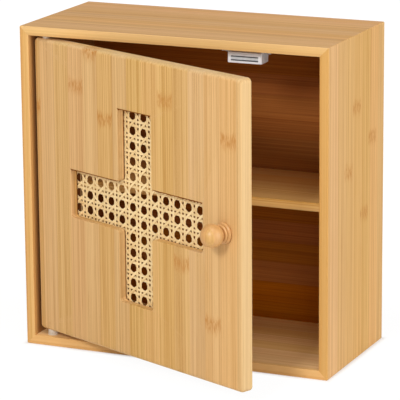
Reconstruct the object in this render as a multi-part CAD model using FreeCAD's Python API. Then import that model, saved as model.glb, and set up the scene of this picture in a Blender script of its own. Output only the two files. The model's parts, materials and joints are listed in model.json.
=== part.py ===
import FreeCAD, Part
import math
import os

# A small wall cabinet in laminated bamboo: a mitred carcass with one shelf, and a pivot-hung door
# with a cross-shaped window of woven cane, a turned knob and a magnetic catch.
# Millimetres. The origin is the middle of the underside, +X right, +Z up, the front towards -Y.

Vector = FreeCAD.Vector
UP = Vector(0, 0, 1)
DOWN = Vector(0, 0, -1)
RIGHT = Vector(1, 0, 0)
FORWARD = Vector(0, -1, 0)
BACKWARD = Vector(0, 1, 0)

# Carcass
cabinet_width = 300.0
cabinet_height = 300.0
cabinet_depth = 140.0
panel_thickness = 8.5
carcass_corner_radius = 1.2
carcass_edge_radius = 0.8

# Loose tongues glued into the four mitres
spline_thickness = 2.0
spline_width = 5.0
spline_setback = 14.0
glue_clearance = 0.05

# Back panel, let into a rebate and pinned
back_thickness = 4.0
back_recess = 1.0
back_rebate_width = 4.5
back_fit = 0.2
pins_per_edge = 3
pin_from_corner = 42.0
panel_pin_radius = 0.7
panel_pin_length = 12.0
panel_pin_head_radius = 1.5
panel_pin_head_height = 0.6

# Eyelets in the back panel for the wall screws
eyelet_from_side = 26.5
eyelet_drop = 56.0
eyelet_bore_radius = 2.6
eyelet_wall = 0.8
eyelet_flange_radius = 6.0
eyelet_flange_height = 0.8

# Shelf on four dowels
shelf_thickness = 8.0
shelf_middle_height = 150.0
shelf_setback = 28.0
shelf_edge_radius = 0.8
dowel_radius = 2.0
dowel_in_side = 5.0
dowel_in_shelf = 14.0
dowel_from_edge = 20.0

# Door
door_thickness = 12.8
door_recess = 3.0
door_gap_left = 3.0
door_gap_right = 5.5
door_gap_top = 3.0
door_gap_bottom = 5.5
door_corner_radius = 4.0
door_front_radius = 3.5
door_back_radius = 2.0
door_open_angle = 23.5

# Pivots: steel pins in the door, nylon bushes in the carcass, nylon spacers between
pivot_from_wall = 14.0
pivot_pin_radius = 2.0
pivot_pin_in_door = 16.0
pivot_pin_chamfer = 0.6
upper_flange_radius = 4.2
lower_flange_radius = 4.6
bush_flange_height = 1.6
bush_flange_chamfer = 0.4
bush_wall = 1.5
bush_floor = 2.2
upper_spacer_radius = 3.4
lower_spacer_radius = 4.4
running_clearance = 0.05
axial_float = 0.1

# Window and woven cane
cross_length = 176.0
cross_arm = 44.2
cross_corner_radius = 3.5
cross_front_radius = 0.6
cane_setback = 7.6
cane_thickness = 1.6
cane_margin = 5.0
cane_pitch_across = 14.7
cane_pitch_up = 13.95
cane_shift_across = 2.5
cane_shift_up = -0.9
cane_turn = 0.6
cane_hole_width = 7.7
cane_edge_land = 0.8

# Rebated frame that clamps the cane from behind
retainer_margin = 9.0
retainer_inset = 1.0
retainer_fit = 0.2
retainer_pin_length = 9.0

# Turned knob and its screw
knob_from_edge = 21.3
knob_rise = 1.6
knob_ball_radius = 10.2
knob_ball_height = 14.8
knob_base_radius = 9.7
knob_base_height = 3.2
knob_ring_radius = 8.3
knob_ring_height = 2.6
knob_neck_radius = 5.6
knob_screw_radius = 2.0
knob_screw_in_knob = 11.0
knob_screw_head_radius = 4.2
knob_screw_head_height = 2.4

# Magnetic catch under the top panel and its strike plate on the door
catch_from_middle = 64.0
catch_width = 32.5
catch_depth = 16.0
catch_height = 9.7
catch_base_width = 47.0
catch_base_height = 4.6
catch_base_setback = 3.5
catch_relief_width = 28.0
catch_relief_depth = 5.0
catch_edge_radius = 0.8
catch_slot_width = 26.0
catch_slot_depth = 12.0
catch_slot_lift = 2.0
pole_thickness = 1.1
magnet_thickness = 2.4
magnet_sink = 0.8
catch_screw_radius = 1.5
catch_screw_head_radius = 2.8
catch_screw_head_height = 1.8
catch_screw_in_panel = 5.5
catch_screw_travel = 2.0
strike_width = 30.0
strike_height = 8.4
strike_thickness = 1.2
strike_corner_radius = 1.0
strike_screw_radius = 1.5
strike_screw_length = 9.0
closing_gap = 0.3

# Shared fits, and how close two places on a drawing count as one
screw_clearance = 0.15
screw_shoulder_share = 0.35
hole_end_gap = 0.5
same_place = 1e-4

# Places worked out from the sizes above
front_y = -cabinet_depth / 2
rear_y = cabinet_depth / 2
side_x = cabinet_width / 2
inner_x = side_x - panel_thickness
floor_z = panel_thickness
ceiling_z = cabinet_height - panel_thickness
back_rear_y = rear_y - back_recess
back_front_y = back_rear_y - back_thickness

door_left = -inner_x + door_gap_left
door_right = inner_x - door_gap_right
door_bottom = floor_z + door_gap_bottom
door_top = ceiling_z - door_gap_top
door_front = front_y + door_recess
door_back = door_front + door_thickness
door_middle_x = (door_left + door_right) / 2
door_middle_z = (door_bottom + door_top) / 2
pivot_x = -inner_x + pivot_from_wall
pivot_y = door_front + door_thickness / 2

cane_front = door_front + cane_setback
cane_back = cane_front + cane_thickness

catch_front = door_back + strike_thickness + closing_gap
catch_top = ceiling_z - catch_base_height
catch_bottom = catch_top - catch_height
catch_slot_bottom = catch_bottom + catch_slot_lift
magnet_bottom = catch_slot_bottom + pole_thickness
magnet_top = magnet_bottom + magnet_thickness
catch_slot_top = magnet_top + pole_thickness


def box(x_range, y_range, z_range):
    """Block between two corners, given as one range for each axis."""
    corner = Vector(x_range[0], y_range[0], z_range[0])
    sides = [high - low for low, high in (x_range, y_range, z_range)]
    return Part.makeBox(*sides, corner)


def centred(middle, size):
    """Range of a given size about its middle."""
    return (middle - size / 2, middle + size / 2)


def rod(base, axis, radius, length):
    """Round bar from its base along an axis."""
    return Part.makeCylinder(radius, length, base, axis)


def edges_where(shape, test):
    """Edges of a shape whose end points and middle all pass a test."""
    chosen = []
    for edge in shape.Edges:
        points = [vertex.Point for vertex in edge.Vertexes]
        points.append(edge.valueAt((edge.FirstParameter + edge.LastParameter) / 2))
        if all(test(point) for point in points):
            chosen.append(edge)
    return chosen


def edges_along(shape, direction):
    """Straight edges of a shape that run along a direction."""
    chosen = []
    for edge in shape.Edges:
        run = edge.Vertexes[-1].Point - edge.Vertexes[0].Point
        if run.Length > same_place and run.cross(direction).Length < same_place:
            chosen.append(edge)
    return chosen


def near(value, target):
    """True where two places are the same for drawing purposes."""
    return abs(value - target) < same_place


def turned(start, steps, base, axis):
    """Solid of revolution from (radius, height) points; a step of two points is an arc."""
    def place(point):
        return Vector(point[0], 0, point[1])

    edges = []
    here = start
    for step in steps + [start]:
        if isinstance(step[0], tuple):
            through, end = step
            edges.append(Part.Arc(place(here), place(through), place(end)).toShape())
            here = end
        else:
            edges.append(Part.LineSegment(place(here), place(step)).toShape())
            here = step
    solid = Part.Face(Part.Wire(edges)).revolve(Vector(0, 0, 0), UP, 360)
    solid.Placement = FreeCAD.Placement(base, FreeCAD.Rotation(UP, axis))
    return solid


def swing_open(shape):
    """Turn a door piece from the closed door to the rest pose."""
    opened = shape.copy()
    opened.rotate(Vector(pivot_x, pivot_y, 0), UP, -door_open_angle)
    return opened


def carcass_ring():
    """All four panels in one, before the mitres part them."""
    ring = box((-side_x, side_x), (front_y, rear_y), (0, cabinet_height))
    ring = ring.makeFillet(carcass_corner_radius, edges_along(ring, BACKWARD))
    outline = edges_where(ring, lambda p: near(abs(p.y), rear_y))
    ring = ring.makeFillet(carcass_edge_radius, outline)
    ring = ring.cut(box((-inner_x, inner_x), (front_y, rear_y), (floor_z, ceiling_z)))

    def on_mouth(point):
        in_width = abs(point.x) < inner_x + same_place
        in_height = abs(point.z - cabinet_height / 2) < cabinet_height / 2 - panel_thickness + same_place
        return near(point.y, front_y) and in_width and in_height

    ring = ring.makeFillet(carcass_edge_radius, edges_where(ring, on_mouth))
    return ring.cut(back_blank(back_rebate_width, rear_y))


def back_blank(reach, rear):
    """Block that covers the open back and reaches into the four panels."""
    x_range = (-inner_x - reach, inner_x + reach)
    z_range = (floor_z - reach, ceiling_z + reach)
    return box(x_range, (back_front_y, rear), z_range)


def spline_blocks(clearance):
    """Four tongues, each square across its mitre, with a clearance all round."""
    width = spline_width + 2 * clearance
    length = cabinet_depth - 2 * spline_setback + 2 * clearance
    thickness = spline_thickness + 2 * clearance
    blocks = []
    for x_side in (-1, 1):
        for z_side in (-1, 1):
            block = box(centred(0, width), centred(0, length), centred(0, thickness))
            block.rotate(Vector(0, 0, 0), Vector(0, 1, 0), 45 * x_side * z_side)
            middle_z = panel_thickness / 2
            if z_side > 0:
                middle_z = cabinet_height - panel_thickness / 2
            block.translate(Vector(x_side * (side_x - panel_thickness / 2), 0, middle_z))
            blocks.append(block)
    return blocks


def mitred_panel(ring, corners):
    """One panel's share of the ring, between two mitre planes."""
    points = [Vector(x, front_y - panel_thickness, z) for x, z in corners]
    wedge = Part.Face(Part.makePolygon(points + points[:1]))
    wedge = wedge.extrude(BACKWARD * (cabinet_depth + 2 * panel_thickness))
    panel = ring.common(wedge)
    return panel.cut(Part.makeCompound(spline_blocks(glue_clearance)))


def back_pin_spots():
    """Places of the panel pins round the back panel."""
    spots = []
    x_line = inner_x + back_rebate_width / 2
    low_line = floor_z - back_rebate_width / 2
    high_line = ceiling_z + back_rebate_width / 2
    for index in range(pins_per_edge):
        share = 2 * index / (pins_per_edge - 1) - 1
        x = share * (cabinet_width / 2 - pin_from_corner)
        z = cabinet_height / 2 + share * (cabinet_height / 2 - pin_from_corner)
        spots += [(x, low_line), (x, high_line), (-x_line, z), (x_line, z)]
    return [Vector(x, back_rear_y, z) for x, z in spots]


def back_pin_holes():
    """Holes that the panel pins fill, through the back panel and into the carcass."""
    radius = panel_pin_radius + glue_clearance
    length = panel_pin_length + hole_end_gap
    return Part.makeCompound([rod(spot, FORWARD, radius, length) for spot in back_pin_spots()])


def panel_pin(base, axis, length):
    """Flat-headed pin whose head seats on base, driven along the axis."""
    shank = rod(base, axis, panel_pin_radius, length)
    head = rod(base - axis * panel_pin_head_height, axis, panel_pin_head_radius, panel_pin_head_height)
    return shank.fuse(head)


def dowel_lines():
    """Start point and side of each shelf dowel, on the joint between shelf and side panel."""
    front = front_y + shelf_setback + dowel_from_edge
    rear = back_front_y - dowel_from_edge
    return [(Vector(side * inner_x, y, shelf_middle_height), side) for side in (-1, 1) for y in (front, rear)]


def dowels(radius_gap, end_gap):
    """Shelf dowels, or with gaps the holes that take them."""
    solids = []
    for joint, side in dowel_lines():
        start = joint + RIGHT * side * (dowel_in_side + end_gap)
        length = dowel_in_side + dowel_in_shelf + 2 * end_gap
        solids.append(rod(start, RIGHT * -side, dowel_radius + radius_gap, length))
    return Part.makeCompound(solids)


def shelf():
    """Shelf between the side panels, resting on its dowels against the back panel."""
    z_range = centred(shelf_middle_height, shelf_thickness)
    board = box((-inner_x, inner_x), (front_y + shelf_setback, back_front_y), z_range)
    long_edges = edges_along(board, RIGHT)
    front_edges = [edge for edge in long_edges if near(edge.CenterOfMass.y, front_y + shelf_setback)]
    board = board.makeFillet(shelf_edge_radius, front_edges)
    return board.cut(dowels(glue_clearance, hole_end_gap))


def eyelet_spots():
    """Centres of the two wall-screw eyelets on the front of the back panel."""
    z = ceiling_z - eyelet_drop
    x = inner_x - eyelet_from_side
    return {"left": Vector(-x, back_front_y, z), "right": Vector(x, back_front_y, z)}


def back_panel():
    """Thin panel in the rear rebate, with holes for eyelets and pins."""
    panel = back_blank(back_rebate_width - back_fit, back_rear_y)
    hole_radius = eyelet_bore_radius + eyelet_wall + glue_clearance
    for spot in eyelet_spots().values():
        panel = panel.cut(rod(spot, BACKWARD, hole_radius, back_thickness))
    return panel.cut(back_pin_holes())


def eyelet(spot):
    """Flanged steel eyelet: the flange lies on the inner face, the sleeve fills the hole."""
    inside = eyelet_bore_radius
    outside = inside + eyelet_wall
    bend = eyelet_flange_height * math.sqrt(0.5)
    steps = [
        (outside, back_thickness),
        (outside, 0),
        (eyelet_flange_radius, 0),
        (eyelet_flange_radius, -eyelet_flange_height),
        (inside + eyelet_flange_height, -eyelet_flange_height),
        ((inside + eyelet_flange_height - bend, -bend), (inside, 0)),
    ]
    return turned((inside, back_thickness), steps, spot, BACKWARD)


def bush_sleeve_length():
    return panel_thickness - bush_floor


def bush_outer_radius():
    return pivot_pin_radius + running_clearance + bush_wall


def pivot_bush_hole(panel_face_z, into_panel):
    """Blind hole that takes a bush."""
    base = Vector(pivot_x, pivot_y, panel_face_z)
    return rod(base, into_panel, bush_outer_radius() + glue_clearance, bush_sleeve_length() + hole_end_gap)


def pivot_bush(panel_face_z, into_panel, flange_radius):
    """Flanged nylon bush pressed into a carcass panel."""
    bore = pivot_pin_radius + running_clearance
    outside = bush_outer_radius()
    steps = [
        (bore, -bush_flange_height),
        (flange_radius - bush_flange_chamfer, -bush_flange_height),
        (flange_radius, -bush_flange_height + bush_flange_chamfer),
        (flange_radius, 0),
        (outside, 0),
        (outside, bush_sleeve_length()),
    ]
    return turned((bore, bush_sleeve_length()), steps, Vector(pivot_x, pivot_y, panel_face_z), into_panel)


def pivot_pin(door_edge_z, outward, gap):
    """Steel pin from inside the door, across the gap and into the bush."""
    length = pivot_pin_in_door + gap + bush_sleeve_length() - hole_end_gap
    slim = pivot_pin_radius - pivot_pin_chamfer
    steps = [
        (slim, 0),
        (pivot_pin_radius, pivot_pin_chamfer),
        (pivot_pin_radius, length - pivot_pin_chamfer),
        (slim, length),
        (0, length),
    ]
    base = Vector(pivot_x, pivot_y, door_edge_z) - outward * pivot_pin_in_door
    return turned((0, 0), steps, base, outward)


def pivot_spacer(door_edge_z, outward, gap, radius):
    """Nylon spacer on the pin, between the door's edge and the bush."""
    height = gap - bush_flange_height - axial_float
    base = Vector(pivot_x, pivot_y, door_edge_z)
    bore = pivot_pin_radius + glue_clearance
    return rod(base, outward, radius, height).cut(rod(base, outward, bore, height))


def pivot_pin_hole(door_edge_z, outward):
    """Blind hole in the door's edge for a pivot pin."""
    base = Vector(pivot_x, pivot_y, door_edge_z)
    return rod(base, -outward, pivot_pin_radius + glue_clearance, pivot_pin_in_door + hole_end_gap)


def cross_points(margin):
    """Corners of the window's cross, grown by a margin, about the door's middle."""
    arm = cross_arm / 2 + margin
    end = cross_length / 2 + margin
    quarter = [(arm, end), (arm, arm), (end, arm)]
    points = []
    for turn in range(4):
        points += quarter
        quarter = [(z, -x) for x, z in quarter]
    return [(door_middle_x + x, door_middle_z + z) for x, z in points]


def cross_block(margin, y_range):
    """Prism from front to back with the window's cross as its section."""
    points = [Vector(x, y_range[0], z) for x, z in cross_points(margin)]
    face = Part.Face(Part.makePolygon(points + points[:1]))
    return face.extrude(BACKWARD * (y_range[1] - y_range[0]))


def rounded_cross_block(margin, y_range):
    """The same prism with its twelve corners rounded as a cutter leaves them."""
    block = cross_block(margin, y_range)
    return block.makeFillet(cross_corner_radius, edges_along(block, BACKWARD))


def retainer_pin_spots():
    """Two pins at the end of each arm of the retaining frame, in its outer rim."""
    along = cross_length / 2 + (cane_margin + retainer_margin) / 2
    across = cross_arm / 4
    spots = []
    for side in (-1, 1):
        for end in (-1, 1):
            spots += [(side * across, end * along), (end * along, side * across)]
    return [Vector(door_middle_x + x, door_back, door_middle_z + z) for x, z in spots]


def retainer_pin_holes():
    radius = panel_pin_radius + glue_clearance
    length = retainer_pin_length + hole_end_gap
    return Part.makeCompound([rod(spot, FORWARD, radius, length) for spot in retainer_pin_spots()])


def knob_centre():
    return Vector(door_right - knob_from_edge, door_front, door_middle_z + knob_rise)


def knob_screw_hole():
    """Clearance hole through the door for the knob's screw."""
    return rod(knob_centre(), BACKWARD, knob_screw_radius + screw_clearance, door_thickness)


def strike_centre():
    return Vector(catch_from_middle, door_back, (magnet_bottom + magnet_top) / 2)


def door_panel():
    """Solid door board with its window, the rebate behind it and the holes for its hardware."""
    board = box((door_left, door_right), (door_front, door_back), (door_bottom, door_top))
    board = board.makeFillet(door_corner_radius, edges_along(board, BACKWARD))
    board = board.makeFillet(door_front_radius, edges_where(board, lambda p: near(p.y, door_front)))
    board = board.makeFillet(door_back_radius, edges_where(board, lambda p: near(p.y, door_back)))
    board = board.cut(rounded_cross_block(0, (door_front, door_back)))

    def on_window_front(point):
        reach = cross_length / 2 + same_place
        inside = abs(point.x - door_middle_x) < reach and abs(point.z - door_middle_z) < reach
        return inside and near(point.y, door_front)

    board = board.makeFillet(cross_front_radius, edges_where(board, on_window_front))
    board = board.cut(rounded_cross_block(retainer_margin + retainer_fit, (cane_front, door_back)))
    strike_hole = rod(strike_centre(), FORWARD, strike_screw_radius + glue_clearance, strike_screw_length)
    cuts = [
        pivot_pin_hole(door_top, UP),
        pivot_pin_hole(door_bottom, DOWN),
        retainer_pin_holes(),
        knob_screw_hole(),
        strike_hole,
    ]
    for tool in cuts:
        board = board.cut(tool)
    return board


def cane_holes():
    """Octagonal openings of the weave, laid a little askew, that lie wholly within the sheet."""
    half_width = cane_hole_width / 2
    sides = 8
    corner_radius = half_width / math.cos(math.pi / sides)
    arm = cross_arm / 2 + cane_margin - cane_edge_land - half_width
    end = cross_length / 2 + cane_margin - cane_edge_land - half_width
    columns = int(cross_length / cane_pitch_across)
    rows = int(cross_length / cane_pitch_up)
    skew = math.radians(cane_turn)
    wires = []
    for column in range(-columns, columns + 1):
        for row in range(-rows, rows + 1):
            across = column * cane_pitch_across
            up = row * cane_pitch_up
            x = cane_shift_across + across * math.cos(skew) + up * math.sin(skew)
            z = cane_shift_up - across * math.sin(skew) + up * math.cos(skew)
            in_upright_arm = abs(x) <= arm and abs(z) <= end
            in_level_arm = abs(x) <= end and abs(z) <= arm
            if not (in_upright_arm or in_level_arm):
                continue
            corners = []
            for step in range(sides):
                angle = (2 * step + 1) * math.pi / sides
                corner_x = door_middle_x + x + corner_radius * math.cos(angle)
                corner_z = door_middle_z + z + corner_radius * math.sin(angle)
                corners.append(Vector(corner_x, cane_front, corner_z))
            wires.append(Part.makePolygon(corners + corners[:1]))
    return wires


def cane_webbing():
    """Sheet of open-weave cane behind the window, one holed face given its thickness."""
    points = [Vector(x, cane_front, z) for x, z in cross_points(cane_margin)]
    outline = Part.makePolygon(points + points[:1])
    sheet = Part.Face([outline] + cane_holes())
    return sheet.extrude(BACKWARD * cane_thickness)


def cane_retainer():
    """Cross-shaped frame flush with the door's back: its lip holds the cane, its rim takes the pins."""
    frame = rounded_cross_block(retainer_margin, (cane_front, door_back))
    frame = frame.cut(rounded_cross_block(retainer_inset, (cane_front, door_back)))
    frame = frame.cut(cross_block(cane_margin + retainer_fit, (cane_front, cane_back)))
    return frame.cut(retainer_pin_holes())


def door_knob():
    """Turned ball on a neck and two rounded rings, bored for its screw."""
    base_bead = knob_base_height / 2
    ring_bead = knob_ring_height / 2
    ring_top = knob_base_height + knob_ring_height
    neck_top = knob_ball_height - math.sqrt(knob_ball_radius ** 2 - knob_neck_radius ** 2)
    tip = knob_ball_height + knob_ball_radius
    bore = knob_screw_radius + glue_clearance
    bore_depth = knob_screw_in_knob + hole_end_gap
    steps = [
        (knob_base_radius - base_bead, 0),
        ((knob_base_radius, base_bead), (knob_base_radius - base_bead, knob_base_height)),
        (knob_ring_radius - ring_bead, knob_base_height),
        ((knob_ring_radius, knob_base_height + ring_bead), (knob_ring_radius - ring_bead, ring_top)),
        (knob_neck_radius, ring_top),
        (knob_neck_radius, neck_top),
        ((knob_ball_radius, knob_ball_height), (0, tip)),
        (0, bore_depth),
        (bore, bore_depth),
    ]
    return turned((bore, 0), steps, knob_centre(), FORWARD)


def pan_screw(seat, axis, radius, length, head_radius, head_height):
    """Screw with a domed head that seats on a face, its shank along the axis."""
    shoulder = head_height * screw_shoulder_share
    dome = head_height - shoulder
    sphere_radius = (head_radius ** 2 + dome ** 2) / (2 * dome)
    half_way = head_radius / 2
    half_way_drop = sphere_radius - math.sqrt(sphere_radius ** 2 - half_way ** 2)
    steps = [
        ((half_way, half_way_drop - head_height), (head_radius, -shoulder)),
        (head_radius, 0),
        (radius, 0),
        (radius, length),
        (0, length),
    ]
    return turned((0, -head_height), steps, seat, axis)


def knob_screw():
    """Screw from the door's back through into the knob."""
    seat = knob_centre() + BACKWARD * door_thickness
    length = door_thickness + knob_screw_in_knob
    return pan_screw(seat, FORWARD, knob_screw_radius, length, knob_screw_head_radius, knob_screw_head_height)


def strike_head_radius():
    """Rim of a right-angled countersink that ends at the back of the plate."""
    return strike_screw_radius + strike_thickness


def strike_plate():
    """Steel plate on the door's back, countersunk for one screw."""
    centre = strike_centre()
    face = centre + BACKWARD * strike_thickness
    plate = box(centred(centre.x, strike_width), (centre.y, face.y), centred(centre.z, strike_height))
    plate = plate.makeFillet(strike_corner_radius, edges_along(plate, BACKWARD))
    rim = strike_head_radius() + glue_clearance
    sink = Part.makeCone(rim, strike_screw_radius + glue_clearance, strike_thickness, face, FORWARD)
    return plate.cut(sink)


def strike_screw():
    """Countersunk screw, flush with the strike plate."""
    face = strike_centre() + BACKWARD * strike_thickness
    steps = [
        (strike_head_radius(), 0),
        (strike_screw_radius, strike_thickness),
        (strike_screw_radius, strike_screw_length),
        (0, strike_screw_length),
    ]
    return turned((0, 0), steps, face, FORWARD)


def catch_screw_spots():
    """Seats of the two screws, under the ears of the catch's base."""
    ear_middle = (catch_width + catch_base_width) / 4
    y = catch_front + (catch_base_setback + catch_depth) / 2
    return [Vector(catch_from_middle + side * ear_middle, y, catch_top) for side in (-1, 1)]


def catch_screw_holes():
    """Pilot holes in the top panel for the catch's screws."""
    radius = catch_screw_radius + glue_clearance
    depth = catch_base_height + catch_screw_in_panel + hole_end_gap
    return Part.makeCompound([rod(spot, UP, radius, depth) for spot in catch_screw_spots()])


def catch_screws():
    """Two screws that hold the catch to the top panel."""
    length = catch_base_height + catch_screw_in_panel
    sizes = (catch_screw_radius, length, catch_screw_head_radius, catch_screw_head_height)
    return Part.makeCompound([pan_screw(spot, UP, *sizes) for spot in catch_screw_spots()])


def catch_housing():
    """Moulded catch: a block with a slot for the magnet, hung from a relieved base with slotted ears."""
    block_x = centred(catch_from_middle, catch_width)
    block_y = (catch_front, catch_front + catch_depth)
    block = box(block_x, block_y, (catch_bottom, catch_top))
    below = edges_where(block, lambda p: near(p.z, catch_bottom))
    block = block.makeFillet(catch_edge_radius, below + edges_along(block, UP))
    base_y = (catch_front + catch_base_setback, catch_front + catch_depth)
    base = box(centred(catch_from_middle, catch_base_width), base_y, (catch_top, ceiling_z))
    base = base.makeFillet(catch_edge_radius, edges_along(base, UP))
    relief_y = (base_y[0], base_y[0] + catch_relief_depth)
    base = base.cut(box(centred(catch_from_middle, catch_relief_width), relief_y, (catch_top, ceiling_z)))
    housing = block.fuse(base).removeSplitter()
    slot_y = (catch_front, catch_front + catch_slot_depth)
    slot_x = centred(catch_from_middle, catch_slot_width)
    housing = housing.cut(box(slot_x, slot_y, (catch_slot_bottom, catch_slot_top)))
    radius = catch_screw_radius + screw_clearance
    for spot in catch_screw_spots():
        ends = [spot + FORWARD * catch_screw_travel, spot + BACKWARD * catch_screw_travel]
        for end in ends:
            housing = housing.cut(rod(end, UP, radius, catch_base_height))
        slot_sides = (ends[0].y, ends[1].y)
        housing = housing.cut(box(centred(spot.x, 2 * radius), slot_sides, (catch_top, ceiling_z)))
    return housing


def catch_pole_plates():
    """Steel plates above and below the magnet, flush with the front of the catch."""
    plate_x = centred(catch_from_middle, catch_slot_width)
    plate_y = (catch_front, catch_front + catch_slot_depth)
    lower = box(plate_x, plate_y, (catch_slot_bottom, magnet_bottom))
    upper = box(plate_x, plate_y, (magnet_top, catch_slot_top))
    return Part.makeCompound([lower, upper])


def catch_magnet():
    """Block magnet between the pole plates, a little behind their edges."""
    magnet_x = centred(catch_from_middle, catch_slot_width)
    magnet_y = (catch_front + magnet_sink, catch_front + catch_slot_depth)
    return box(magnet_x, magnet_y, (magnet_bottom, magnet_top))


def carcass_panels():
    """Top, bottom and side panels, mitred and drilled."""
    ring = carcass_ring()
    over = 2 * panel_thickness
    outside = side_x + over
    inside = side_x - over
    high_out = cabinet_height + over
    high_in = cabinet_height - over
    top = [(-outside, high_out), (outside, high_out), (inside, high_in), (-inside, high_in)]
    bottom = [(-outside, -over), (outside, -over), (inside, over), (-inside, over)]
    left = [(-outside, -over), (-outside, high_out), (-inside, high_in), (-inside, over)]
    right = [(outside, -over), (outside, high_out), (inside, high_in), (inside, over)]
    top_tools = [pivot_bush_hole(ceiling_z, UP), catch_screw_holes()]
    bottom_tools = [pivot_bush_hole(floor_z, DOWN)]
    side_tools = [dowels(glue_clearance, hole_end_gap)]
    plans = {
        "top_panel": (top, top_tools),
        "bottom_panel": (bottom, bottom_tools),
        "left_side_panel": (left, side_tools),
        "right_side_panel": (right, side_tools),
    }
    panels = {}
    for name, (corners, tools) in plans.items():
        panel = mitred_panel(ring, corners)
        for tool in tools + [back_pin_holes()]:
            panel = panel.cut(tool)
        panels[name] = panel
    return panels


def carcass_pieces():
    """Everything that stays with the wall."""
    pieces = carcass_panels()
    pieces["corner_splines"] = Part.makeCompound(spline_blocks(0))
    pieces["back_panel"] = back_panel()
    back_pins = [panel_pin(spot, FORWARD, panel_pin_length) for spot in back_pin_spots()]
    pieces["back_panel_pins"] = Part.makeCompound(back_pins)
    for side, spot in eyelet_spots().items():
        pieces[f"{side}_wall_eyelet"] = eyelet(spot)
    pieces["shelf"] = shelf()
    pieces["shelf_dowels"] = dowels(0, 0)
    pieces["upper_pivot_bush"] = pivot_bush(ceiling_z, UP, upper_flange_radius)
    pieces["lower_pivot_bush"] = pivot_bush(floor_z, DOWN, lower_flange_radius)
    pieces["catch_housing"] = catch_housing()
    pieces["catch_magnet"] = catch_magnet()
    pieces["catch_pole_plates"] = catch_pole_plates()
    pieces["catch_screws"] = catch_screws()
    return pieces


def door_pieces():
    """Everything that swings, drawn with the door closed."""
    pieces = {"door_panel": door_panel()}
    pieces["cane_webbing"] = cane_webbing()
    pieces["cane_retainer"] = cane_retainer()
    retainer_pins = [panel_pin(spot, FORWARD, retainer_pin_length) for spot in retainer_pin_spots()]
    pieces["retainer_pins"] = Part.makeCompound(retainer_pins)
    pieces["door_knob"] = door_knob()
    pieces["knob_screw"] = knob_screw()
    pieces["upper_pivot_pin"] = pivot_pin(door_top, UP, door_gap_top)
    pieces["lower_pivot_pin"] = pivot_pin(door_bottom, DOWN, door_gap_bottom)
    pieces["upper_pivot_spacer"] = pivot_spacer(door_top, UP, door_gap_top, upper_spacer_radius)
    pieces["lower_pivot_spacer"] = pivot_spacer(door_bottom, DOWN, door_gap_bottom, lower_spacer_radius)
    pieces["strike_plate"] = strike_plate()
    pieces["strike_screw"] = strike_screw()
    return {name: swing_open(shape) for name, shape in pieces.items()}


def main():
    os.makedirs("parts", exist_ok=True)
    for name, shape in {**carcass_pieces(), **door_pieces()}.items():
        shape.exportStep(f"parts/{name}.step")


main()
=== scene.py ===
import json
import math

import bmesh
import bpy
from mathutils import Matrix, Vector


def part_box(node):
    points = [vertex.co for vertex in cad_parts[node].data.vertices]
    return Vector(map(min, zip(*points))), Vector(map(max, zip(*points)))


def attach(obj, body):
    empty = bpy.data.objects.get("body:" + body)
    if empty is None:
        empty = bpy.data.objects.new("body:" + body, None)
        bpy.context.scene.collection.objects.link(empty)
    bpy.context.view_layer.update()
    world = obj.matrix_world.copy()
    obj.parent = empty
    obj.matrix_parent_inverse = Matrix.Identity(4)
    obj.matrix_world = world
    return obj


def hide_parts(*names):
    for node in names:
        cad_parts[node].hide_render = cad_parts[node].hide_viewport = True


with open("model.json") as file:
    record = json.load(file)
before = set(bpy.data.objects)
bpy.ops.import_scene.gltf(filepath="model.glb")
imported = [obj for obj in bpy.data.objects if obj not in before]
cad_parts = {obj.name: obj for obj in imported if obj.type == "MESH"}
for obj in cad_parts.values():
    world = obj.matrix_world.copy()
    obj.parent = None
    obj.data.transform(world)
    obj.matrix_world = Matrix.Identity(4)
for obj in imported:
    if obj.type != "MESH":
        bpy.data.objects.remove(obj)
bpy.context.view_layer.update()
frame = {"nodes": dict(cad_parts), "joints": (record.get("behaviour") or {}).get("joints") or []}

# Looks of a small wall cabinet in laminated bamboo, with a cross of woven cane in its door.
# Metres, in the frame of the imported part: +X right, +Z up, the open front towards -Y.

nodes = frame["nodes"]
MM = 0.001

# Carcass
cabinet_width = 300.0 * MM
cabinet_height = 300.0 * MM
cabinet_depth = 140.0 * MM
side_thickness = 8.5 * MM

# Door: it stands open at rest, turned about its pivots from the closed place
hinge = frame["joints"][0]
hinge_place = Vector(hinge["pos_m"])
door_open_angle = math.radians(-hinge["range_deg"][0])
door_turn = (
    Matrix.Translation(hinge_place)
    @ Matrix.Rotation(-door_open_angle, 4, "Z")
    @ Matrix.Translation(-hinge_place)
)
door_left = -138.5 * MM
door_bottom = 14.0 * MM
door_width = 274.5 * MM
door_height = 274.5 * MM
door_front = -67.0 * MM
door_back = -54.2 * MM
door_middle = Vector((door_left + door_width / 2, door_bottom + door_height / 2))

# Window and the cane behind it
cross_length = 176.0 * MM
cross_arm = 44.2 * MM
cane_margin = 5.0 * MM
cane_front = -59.4 * MM
cane_depth = 1.6 * MM

# Weave: the grid of its pairs, which lies a little askew in the window, and its strands
cane_pitch_across = 14.7 * MM
cane_pitch_up = 13.95 * MM
cane_shift = Vector((2.5 * MM, -0.9 * MM))
cane_turn = Matrix.Rotation(math.radians(-0.6), 2)
upright_gap = 4.56 * MM
level_gap = 3.96 * MM
strand_width = 2.34 * MM
strand_thickness = 0.36 * MM
strand_crown = 0.14 * MM
strand_step = 1.2 * MM
strand_corners = 8
strand_seed = 11
pair_lift = 0.2 * MM
diagonal_lift = 0.46 * MM
diagonal_steepness = 1.8

# Nails and screws: radius of the shank and height of the head
pin_shank, pin_head = 0.7 * MM, 0.6 * MM
catch_shank, catch_head = 1.5 * MM, 1.8 * MM
knob_shank, knob_head = 2.0 * MM, 2.4 * MM
strike_shank, strike_head = 1.5 * MM, 1.2 * MM

# Outline of a point from its tip outwards and up: shares of the shank's radius
point_outline = ((0.0, 0.0), (0.3, 0.4), (1.0, 3.0))

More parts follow.
